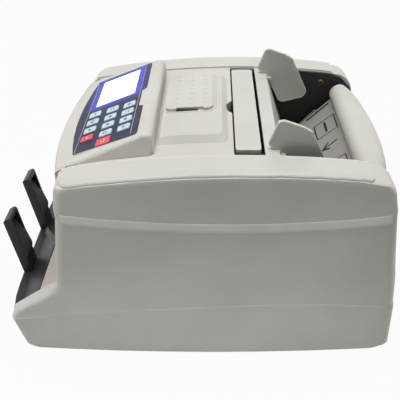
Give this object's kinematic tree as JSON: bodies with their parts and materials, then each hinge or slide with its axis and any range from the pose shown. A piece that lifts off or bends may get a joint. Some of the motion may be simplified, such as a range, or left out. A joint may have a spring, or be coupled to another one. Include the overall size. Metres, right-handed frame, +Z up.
{
  "type": "banknote counter",
  "caption": "Desk-top banknote counter with a rear hopper, a sloping control pod with keys and display, and a front stacker pocket.",
  "frame": {"origin": "middle of the footprint, on the surface that the feet stand on", "axes": "+X to the operator's right, +Y from the operator to the rear, +Z up"},
  "size_m": [0.25, 0.3244, 0.1882],
  "materials": {
    "casing": "fine moulded texture",
    "casing_shade": "fine moulded texture",
    "black_plastic": "satin moulded",
    "floor_plastic": "satin moulded",
    "overlay_film": "printed film",
    "display_glass": "lit display window",
    "key_pale": "satin moulded",
    "key_red": "satin moulded",
    "bright_steel": "ground shaft",
    "zinc_plate": "zinc plated sheet",
    "rubber": "soft rubber",
    "wheel_plastic": "moulded",
    "circuit_board": "solder mask"
  },
  "bodies": {
    "casing": {"side_cover_right": "casing", "side_cover_left": "casing", "top_cover": "casing", "back_panel": "casing_shade", "base_pan": "zinc_plate", "foot_front_right": "rubber", "foot_front_left": "rubber", "foot_rear_right": "rubber", "foot_rear_left": "rubber", "control_pod": "casing", "keypad_overlay": "overlay_film", "display_window": "display_glass", "keypad_board": "circuit_board", "hopper_plate": "casing_shade", "hopper_liner_right": "black_plastic", "hopper_liner_left": "black_plastic", "liner_screw_right": "bright_steel", "liner_screw_left": "bright_steel", "stacker_floor": "floor_plastic", "stacker_lip": "black_plastic", "stacker_throat": "black_plastic", "stacker_arm_right": "black_plastic", "stacker_arm_left": "black_plastic", "frame_plate_right": "zinc_plate", "frame_plate_left": "zinc_plate", "drive_motor": "zinc_plate", "drive_belt": "rubber", "pickup_belt": "rubber", "power_supply": "zinc_plate", "main_board": "circuit_board", "power_inlet": "black_plastic"},
    "handle": {"carry_handle": "casing"},
    "access_lid": {"access_cover": "casing"},
    "gap_adjuster": {"gap_knob": "black_plastic"},
    "guide_right": {"hopper_guide_right": "casing_shade"},
    "guide_left": {"hopper_guide_left": "casing_shade"},
    "rear_hood": {"rear_cover": "casing"},
    "rocker": {"power_rocker": "black_plastic"},
    "feed": {"feed_shaft": "bright_steel", "feed_roller_right": "rubber", "feed_roller_left": "rubber"},
    "pickup": {"pickup_roller": "rubber"},
    "stacker": {"stacker_shaft": "bright_steel", "stacker_wheel_right": "wheel_plastic", "stacker_wheel_left": "wheel_plastic"},
    "motor_rotor": {"motor_shaft": "bright_steel"},
    "key_01_cap": {"key_01": "key_pale"},
    "key_02_cap": {"key_02": "key_pale"},
    "key_03_cap": {"key_03": "key_pale"},
    "key_04_cap": {"key_04": "key_red"},
    "key_05_cap": {"key_05": "key_pale"},
    "key_06_cap": {"key_06": "key_pale"},
    "key_07_cap": {"key_07": "key_pale"},
    "key_08_cap": {"key_08": "key_pale"},
    "key_09_cap": {"key_09": "key_red"},
    "key_10_cap": {"key_10": "key_pale"},
    "key_11_cap": {"key_11": "key_pale"},
    "key_12_cap": {"key_12": "key_pale"},
    "key_13_cap": {"key_13": "key_pale"}
  },
  "joints": [
    {"name": "handle_lift", "type": "hinge", "parent": "casing", "child": "handle", "pos_m": [0, 0.04525, 0.16118], "axis": [-1, 0, 0], "range_deg": [0, 80]},
    {"name": "access_lid_hinge", "type": "hinge", "parent": "casing", "child": "access_lid", "pos_m": [-0.0584, -0.00525, 0.1701], "axis": [0, -1, 0], "range_deg": [0, 90]},
    {"name": "gap_adjust_turn", "type": "hinge", "parent": "casing", "child": "gap_adjuster", "pos_m": [-0.02025, -0.00525, 0.153], "axis": [0, 0, 1], "range_deg": [-150, 150]},
    {"name": "guide_right_slide", "type": "slide", "parent": "casing", "child": "guide_right", "axis": [-1, 0, 0], "range_m": [0, 0.038]},
    {"name": "guide_left_slide", "type": "slide", "parent": "casing", "child": "guide_left", "axis": [1, 0, 0], "range_m": [0, 0.038]},
    {"name": "rear_hood_hinge", "type": "hinge", "parent": "casing", "child": "rear_hood", "pos_m": [0, 0.15145, 0.11785], "axis": [-1, 0, 0], "range_deg": [0, 60]},
    {"name": "rocker_tilt", "type": "hinge", "parent": "casing", "child": "rocker", "pos_m": [0.0325, 0.15565, 0.042], "axis": [-1, 0, 0], "range_deg": [0, 16]},
    {"name": "feed_spin", "type": "hinge", "parent": "casing", "child": "feed", "pos_m": [0, 0.07145, 0.088], "axis": [1, 0, 0], "continuous": true},
    {"name": "pickup_spin", "type": "hinge", "parent": "casing", "child": "pickup", "pos_m": [0, 0.10265, 0.1006], "axis": [1, 0, 0], "continuous": true},
    {"name": "stacker_spin", "type": "hinge", "parent": "casing", "child": "stacker", "pos_m": [0, -0.08455, 0.072], "axis": [1, 0, 0], "continuous": true},
    {"name": "motor_spin", "type": "hinge", "parent": "casing", "child": "motor_rotor", "pos_m": [0, 0.01145, 0.042], "axis": [1, 0, 0], "continuous": true},
    {"name": "key_01_press", "type": "slide", "parent": "casing", "child": "key_01_cap", "axis": [0, 0.373, -0.9278], "range_m": [0, 0.0006], "stiffness_N_per_m": 300},
    {"name": "key_02_press", "type": "slide", "parent": "casing", "child": "key_02_cap", "axis": [0, 0.373, -0.9278], "range_m": [0, 0.0006], "stiffness_N_per_m": 300},
    {"name": "key_03_press", "type": "slide", "parent": "casing", "child": "key_03_cap", "axis": [0, 0.373, -0.9278], "range_m": [0, 0.0006], "stiffness_N_per_m": 300},
    {"name": "key_04_press", "type": "slide", "parent": "casing", "child": "key_04_cap", "axis": [0, 0.373, -0.9278], "range_m": [0, 0.0006], "stiffness_N_per_m": 300},
    {"name": "key_05_press", "type": "slide", "parent": "casing", "child": "key_05_cap", "axis": [0, 0.373, -0.9278], "range_m": [0, 0.0006], "stiffness_N_per_m": 300},
    {"name": "key_06_press", "type": "slide", "parent": "casing", "child": "key_06_cap", "axis": [0, 0.373, -0.9278], "range_m": [0, 0.0006], "stiffness_N_per_m": 300},
    {"name": "key_07_press", "type": "slide", "parent": "casing", "child": "key_07_cap", "axis": [0, 0.373, -0.9278], "range_m": [0, 0.0006], "stiffness_N_per_m": 300},
    {"name": "key_08_press", "type": "slide", "parent": "casing", "child": "key_08_cap", "axis": [0, 0.373, -0.9278], "range_m": [0, 0.0006], "stiffness_N_per_m": 300},
    {"name": "key_09_press", "type": "slide", "parent": "casing", "child": "key_09_cap", "axis": [0, 0.373, -0.9278], "range_m": [0, 0.0006], "stiffness_N_per_m": 300},
    {"name": "key_10_press", "type": "slide", "parent": "casing", "child": "key_10_cap", "axis": [0, 0.373, -0.9278], "range_m": [0, 0.0006], "stiffness_N_per_m": 300},
    {"name": "key_11_press", "type": "slide", "parent": "casing", "child": "key_11_cap", "axis": [0, 0.373, -0.9278], "range_m": [0, 0.0006], "stiffness_N_per_m": 300},
    {"name": "key_12_press", "type": "slide", "parent": "casing", "child": "key_12_cap", "axis": [0, 0.373, -0.9278], "range_m": [0, 0.0006], "stiffness_N_per_m": 300},
    {"name": "key_13_press", "type": "slide", "parent": "casing", "child": "key_13_cap", "axis": [0, 0.373, -0.9278], "range_m": [0, 0.0006], "stiffness_N_per_m": 300}
  ],
  "couplings": [
    {"joint": "pickup_spin", "follows": "feed_spin", "ratio": 1},
    {"joint": "stacker_spin", "follows": "feed_spin", "ratio": 1.0588},
    {"joint": "motor_spin", "follows": "feed_spin", "ratio": 1.125}
  ]
}
